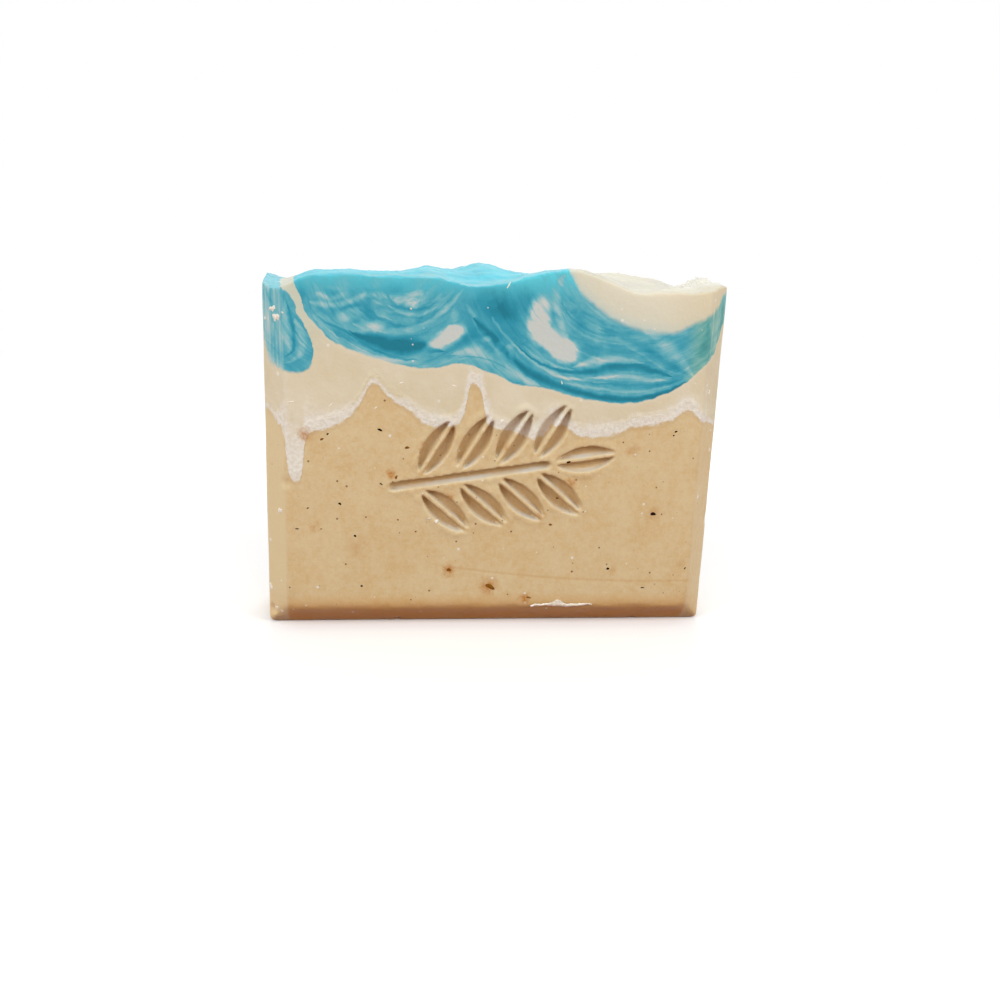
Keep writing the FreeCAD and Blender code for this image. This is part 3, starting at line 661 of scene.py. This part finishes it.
def wire_mark(tree, at):
    """The faint curved line that the cutting wire left low on the front."""
    middle, height, curve = WIRE_MARK
    off = add(tree, "Math", at.right, -middle, operation="ADD")
    off = add(tree, "Math", off, off, operation="MULTIPLY")
    off = add(tree, "Math", off, -curve, at.height, operation="MULTIPLY_ADD")
    off = add(tree, "Math", add(tree, "Math", off, -height, operation="ADD"), operation="ABSOLUTE")
    mark = add(tree, "MapRange", off, 0.05, 0.4, 0.22, 0.0)
    for share in (above(tree, at.right, -9.0, 6.0), at.torn,
                  add(tree, "MapRange", at.behind, FRONT + 0.6, FRONT + 0.4)):
        mark = add(tree, "Math", mark, share, operation="MULTIPLY")
    return mark


def painted_stamp_shade(tree, at):
    """Painted shade in the stamp's recess: darker where the stamp pressed the soap down."""
    in_stamp = add(tree, "MapRange", at.behind, FRONT + 0.25, FRONT + 1.2, 0.0, STAMP_SHADE,
                  interpolation_type="SMOOTHSTEP")
    for far, outside, inside in ((at.height, 14.0, 18.0), (at.outwards, 34.0, 30.0),
                                 (at.behind, FRONT + 2.4, FRONT + 1.8)):
        within = add(tree, "MapRange", far, outside, inside)
        in_stamp = add(tree, "Math", in_stamp, within, operation="MULTIPLY")
    return in_stamp


def dried_skin(tree, at, swirl_here, cap_here):
    """The ashy skin that dried on top: where it is, how strong its ash is, and the ash's colour."""
    skin = add(tree, "MapRange", at.facing_up, 0.35, 0.85, interpolation_type="SMOOTHSTEP")
    ash = add(tree, "VectorMath", at.place, SPOONED, operation="MULTIPLY")
    ash = add(tree, "TexNoise", ash, 1.0, 3.0, 0.6, 2.0, 0.6).node.outputs
    on_blue = add(tree, "ValToRGB", add(tree, "SeparateXYZ", ash[1], out=1), stops=ASH_ON_BLUE)
    strength = add(tree, "MapRange", ash[0], 0.35, 0.65, 0.3, 0.95)
    strength = add(tree, "Math", strength, skin, operation="MULTIPLY")
    tone = add(tree, "Mix", swirl_here, ASH_ON_CREAM, on_blue, data_type="RGBA")
    return skin, strength, add(tree, "Mix", cap_here, tone, ASH_ON_CREAM, data_type="RGBA")


def pale_lump(tree, at):
    """How strongly the crumbly lump on top is whitened."""
    *middle, reach = CRUMBLY_LUMP
    off = add(tree, "VectorMath", at.place, tuple(middle), operation="DISTANCE")
    pale = add(tree, "MapRange", off, reach + 1.0, 0.6 * reach, 0.0, 0.8)
    return add(tree, "Math", pale, add(tree, "MapRange", at.height, 66.8, 67.6), operation="MULTIPLY")


def fine_relief(tree, at):
    """Cut marks, plane marks on the bevels, and the froth's curds."""
    fine = add(tree, "TexNoise", at.place, 1 / CUT_MARKS, 2.0, 0.6, 2.0, 0.0)
    by_seam = add(tree, "Math", at.height, drawn_line(tree, at.right, BEIGE_EDGE), operation="SUBTRACT")
    by_seam = add(tree, "Math", add(tree, "Math", by_seam, -1.0, operation="ADD"), operation="ABSOLUTE")
    by_seam = add(tree, "MapRange", by_seam, 0.8, 1.8, 1.0, 0.0)
    height = add(tree, "Math", by_seam, at.grain, operation="MULTIPLY")
    height = add(tree, "Math", height, 3.0, fine, operation="MULTIPLY_ADD")
    height = add(tree, "Math", at.drag, 1.6, height, operation="MULTIPLY_ADD")
    return add(tree, "Bump", 0.5, RELIEF * MM, None, height)


def swirled_soap():
    """Cold process soap, cured and wire cut: a waxy satin body, a little see-through, layered in colour.

    The eye gets beige with herb dust below, cream with a frothy seam above it, and on top a blue swirl
    stirred with white. The swirl runs on through the bar and drifts a few millimetres on its way back.
    """
    material, tree, shader = new_material("cold_process_soap_swirled", 0.45, 1.46, subsurface=0.2)
    at = locate_soap(tree)
    swirl_here, blue = blue_swirl(tree, at)
    cap_here, cap = cream_cap(tree, at)
    skin, ash, ash_tone = dried_skin(tree, at, swirl_here, cap_here)
    on_bevels = add(tree, "MapRange", at.scuffed, 0.0, 0.3, 1.0, 1.6)
    flecks, _ = specks(tree, at.place, FLECK_SPACING, FLECK_SIZE, 0.5, 0.02, on_bevels)
    flecks = add(tree, "Math", flecks, 0.8, operation="MULTIPLY")
    colour = beige_base(tree, at)
    for share, layer in (frothy_cream(tree, at), (swirl_here, blue), (cap_here, cap),
                         (warm_stains(tree, at), STAIN_AND_SHADE), (wire_mark(tree, at), STAIN_AND_SHADE),
                         (painted_stamp_shade(tree, at), STAIN_AND_SHADE), (flecks, FROTH), (ash, ash_tone),
                         (pale_lump(tree, at), FROTH)):
        colour = add(tree, "Mix", share, colour, layer, data_type="RGBA")
    gloss = add(tree, "MapRange", at.clouds, 0.3, 0.7, 0.5, 0.38)
    gloss = add(tree, "Math", skin, 0.35, gloss, operation="MULTIPLY_ADD")
    tree.links.new(colour, shader.inputs["Base Color"])
    tree.links.new(gloss, shader.inputs["Roughness"])
    tree.links.new(fine_relief(tree, at), shader.inputs["Normal"])
    return material


def grainy_surface(tree, shader, grain, stops):
    """Colours and roughens a surface by one grain."""
    tree.links.new(add(tree, "ValToRGB", grain, stops=stops), shader.inputs["Base Color"])
    tree.links.new(add(tree, "Bump", 0.6, RELIEF * MM, None, grain), shader.inputs["Normal"])


def dry_soap():
    """Shavings and crumbs of dry white soap: chalky, rough, and a little uneven in tone."""
    material, tree, shader = new_material("dry_soap_crumbs", 0.7, 1.46, subsurface=0.15)
    place, _ = spot_on_piece(tree)
    tone = add(tree, "TexNoise", place, 1 / GRAIN, 3.0, 0.6, 2.0, 0.0)
    grainy_surface(tree, shader, tone, [(0.3, CREAM_PALE), (0.7, DRY_WHITE)])
    return material


def dried_herb(name, dark, light):
    """Crushed dried leaf: a matt fibrous flake, darker where it is thick."""
    material, tree, shader = new_material(name, 0.85, 1.45)
    shader.inputs["Specular IOR Level"].default_value = 0.08
    place, _ = spot_on_piece(tree)
    fibres = add(tree, "VectorMath", place, (1.0, 1.0, 4.0), operation="MULTIPLY")
    fibres = add(tree, "TexNoise", fibres, 1 / FIBRE, 3.0, 0.6, 2.0, 0.5)
    grainy_surface(tree, shader, fibres, [(0.35, dark), (0.7, light)])
    return material


def pick_only(piece):
    """Leaves just this piece selected and active."""
    bpy.ops.object.select_all(action="DESELECT")
    piece.select_set(True)
    bpy.context.view_layer.objects.active = piece


def finish_with(piece, kind, **settings):
    """Gives the piece one modifier and applies it."""
    pick_only(piece)
    modifier = piece.modifiers.new(kind.lower(), kind)
    for name, value in settings.items():
        setattr(modifier, name, value)
    bpy.ops.object.modifier_apply(modifier=modifier.name)


def weigh(piece, name, weight_at):
    """A vertex group that holds each point as strongly as weight_at says for its place and normal."""
    group = piece.vertex_groups.new(name=name)
    for vertex in piece.data.vertices:
        weight = weight_at(vertex.co / MM, vertex.normal)
        if weight > 0.001:
            group.add([vertex.index], min(weight, 1.0), "REPLACE")
    return name


def ease(value, start, end):
    """0 before the start and 1 past the end, turning smoothly between them."""
    share = min(max((value - start) / (end - start), 0.0), 1.0)
    return share * share * (3 - 2 * share)


def unevenness(size, depth=2):
    """A cloudy texture of lumps of one size, in millimetres."""
    texture = bpy.data.textures.new(f"lumps_{size}", "CLOUDS")
    texture.noise_scale = size * MM
    texture.noise_depth = depth
    return texture


def shape_bar():
    """The cut slice: the CAD solid with its edges softened, its top roughened and its edges nicked."""
    bar = bpy.data.objects.new("swirled_slice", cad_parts[NODE].data.copy())
    bpy.context.scene.collection.objects.link(bar)
    bar.data.materials.clear()
    pick_only(bar)
    bpy.ops.object.mode_set(mode="EDIT")
    bpy.ops.mesh.select_all(action="SELECT")
    bpy.ops.mesh.remove_doubles(threshold=1e-7)
    bpy.ops.mesh.normals_make_consistent(inside=False)
    bpy.ops.object.mode_set(mode="OBJECT")
    finish_with(bar, "REMESH", mode="VOXEL", voxel_size=VOXEL * MM)
    finish_with(bar, "SMOOTH", factor=0.5, iterations=EDGE_SOFTENING)

    def by_upright_edges(place, normal):
        across = min(abs(abs(place.x) - HALF_WIDTH + SIDE_BEVEL), abs(abs(place.x) - HALF_WIDTH))
        return (1 - ease(across, 0.8, 2.2)) * ease(place.z, 0.5, 2.0) * (1 - ease(normal.z, 0.2, 0.5))

    finish_with(bar, "SMOOTH", factor=0.5, iterations=EDGE_ROUNDING,
                vertex_group=weigh(bar, "upright_edges", by_upright_edges))

    def by_foot_edges(place, normal):
        return (1 - ease(abs(place.z - FOOT_BEVEL), 1.6, 4.0)) * ease(abs(place.y), BACK - 3.2, BACK - 1.5)

    finish_with(bar, "SMOOTH", factor=0.5, iterations=FOOT_ROUNDING,
                vertex_group=weigh(bar, "foot_edges", by_foot_edges))
    brim = {}
    for vertex in bar.data.vertices:
        if abs(abs(vertex.co.y / MM) - BACK) < 1.2:
            cell = (round(vertex.co.x / MM), vertex.co.y > 0)
            brim[cell] = max(brim.get(cell, 0.0), vertex.co.z / MM)

    def by_brims(place, normal):
        edge = brim.get((round(place.x), place.y > 0), 0.0)
        near = 1 - ease(math.hypot(min(BACK - abs(place.y), 9.0), edge - place.z), 0.9, 2.4)
        return near * (0.45 + 0.55 * ease(place.x, 14.0, 22.0))

    def by_right_brim(place, normal):
        off = math.hypot((place.x - RIGHT_BRIM[0]) / 8.5, (place.y - FRONT) / 7.0)
        return (1 - ease(off, 0.1, 1.0)) * ease(place.z, 60.0, 66.0)

    finish_with(bar, "DISPLACE", direction="Z", strength=RIGHT_BRIM[1] * MM, mid_level=0.0,
                vertex_group=weigh(bar, "right_brim", by_right_brim))
    finish_with(bar, "SMOOTH", factor=0.5, iterations=EDGE_ROUNDING,
                vertex_group=weigh(bar, "brims", by_brims))

    def on_faces(place, normal):
        return ease(place.z, 0.8, 6.0) * (1 - abs(normal.z))

    def on_top(place, normal):
        return ease(normal.z, 0.2, 0.6) * ease(place.z, 60.0, 64.0)

    def on_foot_bevels(place, normal):
        return ease(-normal.z, 0.15, 0.5) * ease(place.z, 0.4, 1.4)

    in_stamp = [vertex.co / MM for vertex in bar.data.vertices
               if vertex.co.y > LOW.y + 0.5 * MM and vertex.normal.y < -0.1 and vertex.co.z < 55 * MM
               and abs(vertex.co.x) < 36 * MM]
    stamp = kdtree.KDTree(len(in_stamp))
    for number, place in enumerate(in_stamp):
        stamp.insert(place, number)
    stamp.balance()

    def round_stamp(place, normal):
        if place.y > FRONT + 0.4 or not 12 < place.z < 55 or abs(place.x) > 36:
            return 0.0
        off = stamp.find(place)[2]
        return ease(off, 0.3, 0.8) * (1 - ease(off, 0.8, 2.2))

    def on_lump(place, normal):
        off = (place - Vector(CRUMBLY_LUMP[:3])).length
        return (1 - ease(off, 0.4 * CRUMBLY_LUMP[3], CRUMBLY_LUMP[3])) * ease(place.z, 66.0, 67.5)

    def in_nick(place, normal):
        near = [(reach, depth, (place - Vector((x, y, z))).length) for x, y, z, reach, depth in NICKS
                if abs(x - place.x) < reach]
        depths = [depth / DEEPEST_NICK * (1 - ease(off, 0.0, reach)) for reach, depth, off in near]
        return max(depths, default=0)

    # Where each relief lies, the size of its lumps, its height, the grey that stays level, its direction
    reliefs = [
        ("cut_faces", on_faces, 16.0, FACE_WAVES, 0.55, "NORMAL"),
        ("foot_bevels", on_foot_bevels, 5.0, FACE_WAVES * 1.6, 0.55, "NORMAL"),
        ("stamp_lip", round_stamp, 3.1, STAMP_LIP, 0.25, "NORMAL"),
        ("spooned_top", on_top, 4.5, TOP_RIPPLES, 0.55, "Z"),
        ("spooned_top_fine", on_top, 1.5, TOP_RIPPLES / 3, 0.55, "Z"),
        ("lump", on_lump, 1.1, LUMP_ROUGHNESS, 0.55, "NORMAL"),
    ]
    for name, weight_at, size, height, level, direction in reliefs:
        finish_with(bar, "DISPLACE", texture=unevenness(size), texture_coords="LOCAL", direction=direction,
                    strength=height * MM, mid_level=level, vertex_group=weigh(bar, name, weight_at))
    finish_with(bar, "DISPLACE", direction="NORMAL", strength=-DEEPEST_NICK * MM, mid_level=0.0,
                vertex_group=weigh(bar, "nicks", in_nick))
    bar.vertex_groups.clear()
    bar.data.calc_loop_triangles()
    finish_with(bar, "DECIMATE", ratio=min(1.0, MOST_TRIANGLES / len(bar.data.loop_triangles)))
    pick_only(bar)
    bpy.ops.object.shade_smooth()
    return bar


def lump_of(size_x, size_y, size_z, roughness, name):
    """One small lump: a ball squashed to its sizes in millimetres and roughened."""
    bpy.ops.object.select_all(action="DESELECT")
    bpy.ops.mesh.primitive_ico_sphere_add(subdivisions=3, radius=0.5 * MM)
    lump = bpy.context.object
    lump.name = name
    finish_with(lump, "DISPLACE", texture=unevenness(0.45), texture_coords="LOCAL",
                strength=roughness * MM, mid_level=0.5)
    lump.data.transform(Matrix.Diagonal((size_x, size_y, size_z, 1.0)))
    return lump


def seat(piece, bar, x, z, lean, sink):
    """Turns a small piece about the line of sight of the front, and seats it on the bar's skin there."""
    hit, spot, normal, _ = bar.ray_cast(Vector((x * MM, LOW.y - 0.01, z * MM)), Vector((0, 1, 0)))
    towards = normal if hit else Vector((0, -1, 0))
    turn = towards.to_track_quat("-Y", "Z").to_matrix().to_4x4()
    place = Matrix.Translation(spot - towards * sink * MM)
    piece.data.transform(place @ turn @ Matrix.Rotation(math.radians(-lean), 4, "Y"))


def join_pieces(pieces, name, material):
    """Joins small pieces of one kind to one, smooth and with one material."""
    bpy.ops.object.select_all(action="DESELECT")
    for piece in pieces:
        piece.select_set(True)
    bpy.context.view_layer.objects.active = pieces[0]
    bpy.ops.object.join()
    joined = bpy.context.object
    joined.name = name
    joined.data.materials.clear()
    joined.data.materials.append(material)
    bpy.ops.object.shade_smooth()
    return joined


def scatter(bar, rows, name, thickness, roughness, grains, material):
    """Lumps or flakes of one kind, each seated at its place on the front, whole or as a heap of grains."""
    chance = random.Random(name)
    pieces = []
    for x, z, length, width, lean in rows:
        for _ in range(grains):
            share, aside, over = 1.0, 0.0, 0.0
            if grains > 1:
                share = chance.uniform(0.6, 0.95)
                aside = chance.gauss(0, GRAIN_SPREAD * length)
                over = chance.gauss(0, GRAIN_SPREAD * width)
            depth = thickness * chance.uniform(0.8, 1.1)
            lump = lump_of(length * share, depth, width * share, roughness, name)
            twist = chance.uniform(-60, 60)
            turned = lean + twist if grains > 1 else lean
            seat(lump, bar, x + aside, z + over, turned, 0.3 * thickness)
            pieces.append(lump)
    return join_pieces(pieces, name, material)


def curled_shaving(bar, material):
    """The thin ragged shaving of white soap that the plane left on the foot's front edge."""
    bpy.ops.object.select_all(action="DESELECT")
    bpy.ops.mesh.primitive_grid_add(x_subdivisions=72, y_subdivisions=10, size=1.0)
    shaving = bpy.context.object
    shaving.name = "curled_shaving"
    for vertex in shaving.data.vertices:
        along, up = vertex.co.x + 0.5, vertex.co.y + 0.5
        breadth = 0.0
        for (start, low), (end, high) in zip(SHAVING_OUTLINE, SHAVING_OUTLINE[1:]):
            if start <= along <= end:
                breadth = low + (high - low) * (along - start) / (end - start)
        stand_off = SHAVING_BULGE * math.sin(2.4 * up) * (0.6 + 0.4 * math.sin(11 * along))
        wave = 0.18 * math.sin(6.5 * along + 0.6)
        height = up * breadth + wave - SHAVING_SLIP
        vertex.co = Vector(((along - 0.5) * SHAVING_LENGTH, -stand_off, height)) * MM
    finish_with(shaving, "SOLIDIFY", thickness=SHAVING_THICKNESS * MM, offset=0.0)
    finish_with(shaving, "DISPLACE", texture=unevenness(0.7), texture_coords="LOCAL",
                strength=0.35 * MM, mid_level=0.5)
    seat(shaving, bar, *SHAVING_PLACE, SHAVING_LEAN, -0.05)
    pick_only(shaving)
    shaving.data.materials.append(material)
    bpy.ops.object.shade_smooth()
    return shaving


def place_camera():
    """The camera at the photograph's height, distance, turn and tilt."""
    camera = bpy.data.objects.new("camera", bpy.data.cameras.new("camera"))
    bpy.context.scene.collection.objects.link(camera)
    camera.data.lens = LENS
    camera.data.sensor_width = 36.0
    camera.data.clip_start = 0.01
    turn = Matrix.Rotation(math.radians(CAMERA_TURN), 4, "Z")
    dip = Matrix.Rotation(math.radians(90 - CAMERA_DIP), 4, "X")
    roll = Matrix.Rotation(math.radians(CAMERA_ROLL), 4, "Z")
    camera.matrix_world = Matrix.Translation(Vector(CAMERA_PLACE) * MM) @ turn @ dip @ roll
    bpy.context.scene.camera = camera


def place_light(name, place, size, power):
    """A square soft light at a place in millimetres, turned to the middle of the bar."""
    light = bpy.data.objects.new(name, bpy.data.lights.new(name, "AREA"))
    bpy.context.scene.collection.objects.link(light)
    light.data.size = size * MM
    light.data.energy = power
    light.location = Vector(place) * MM
    aim = Vector((0, 0, 40 * MM)) - light.location
    light.rotation_euler = aim.to_track_quat("-Z", "Y").to_euler()


def light_studio():
    """Soft light from above and in front, and an even sky that the camera sees as white."""
    for name, place, size, power in LIGHTS:
        place_light(name, place, size, power)
    world = bpy.data.worlds.new("studio")
    bpy.context.scene.world = world
    world.use_nodes = True
    tree = world.node_tree
    seen = seen_directly(tree)
    strength = add(tree, "MapRange", seen, 0.0, 1.0, SKY_LIGHT, 1.0)
    tree.links.new(add(tree, "Background", (1, 1, 1, 1), strength), tree.nodes["World Output"].inputs[0])
    bpy.context.scene.view_settings.view_transform = "Standard"


def seen_directly(tree):
    """1 for rays that come from the camera, a reflection or a see-through piece, and 0 for the rest."""
    rays = add(tree, "LightPath").node.outputs
    seen = add(tree, "Math", rays["Is Camera Ray"], rays["Is Glossy Ray"], operation="MAXIMUM")
    return add(tree, "Math", seen, rays["Is Transmission Ray"], operation="MAXIMUM")


def lay_floor():
    """A plain pale floor: white where it is seen, and duller in the light that it throws back."""
    bpy.ops.object.select_all(action="DESELECT")
    bpy.ops.mesh.primitive_plane_add(size=FLOOR_SIZE * MM)
    floor = bpy.context.object
    floor.name = "studio_floor"
    material = bpy.data.materials.new("matt_white_board")
    material.use_nodes = True
    tree = material.node_tree
    tree.nodes.remove(tree.nodes["Principled BSDF"])
    place, _ = spot_on_piece(tree)
    away = add(tree, "VectorMath", place, operation="LENGTH")
    away = add(tree, "MapRange", away, *FLOOR_FADE, interpolation_type="SMOOTHSTEP")
    thrown = add(tree, "BsdfDiffuse", FLOOR_BOUNCE)
    lit, white = add(tree, "BsdfDiffuse", FLOOR_SEEN), add(tree, "Emission", "#ffffff", 1.0)
    shown = add(tree, "MixShader", away, lit, white)
    shader = add(tree, "MixShader", seen_directly(tree), thrown, shown)
    tree.links.new(shader, tree.nodes["Material Output"].inputs[0])
    floor.data.materials.append(material)


place_camera()
light_studio()
lay_floor()

slice_piece = shape_bar()
slice_piece.data.materials.append(swirled_soap())
crumb_finish = dry_soap()
crumbs = scatter(slice_piece, CRUMBS, "dry_crumbs", CRUMB_THICKNESS, 0.5, GRAINS, crumb_finish)
slivers = scatter(slice_piece, SLIVERS, "dry_slivers", SLIVER_THICKNESS, 0.3, 1, crumb_finish)
shaving = curled_shaving(slice_piece, crumb_finish)
dark_herbs = scatter(slice_piece, DARK_HERBS, "dark_herb_flakes", DARK_HERB_THICKNESS, 0.3, 1,
                     dried_herb("dried_herb_dark", *DARK_HERB))
brown_herbs = scatter(slice_piece, BROWN_HERBS, "brown_herb_flakes", BROWN_HERB_THICKNESS, 0.3, 1,
                      dried_herb("dried_herb_brown", *BROWN_HERB))

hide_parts(NODE)
for piece in (slice_piece, crumbs, slivers, shaving, dark_herbs, brown_herbs):
    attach(piece, BODY)
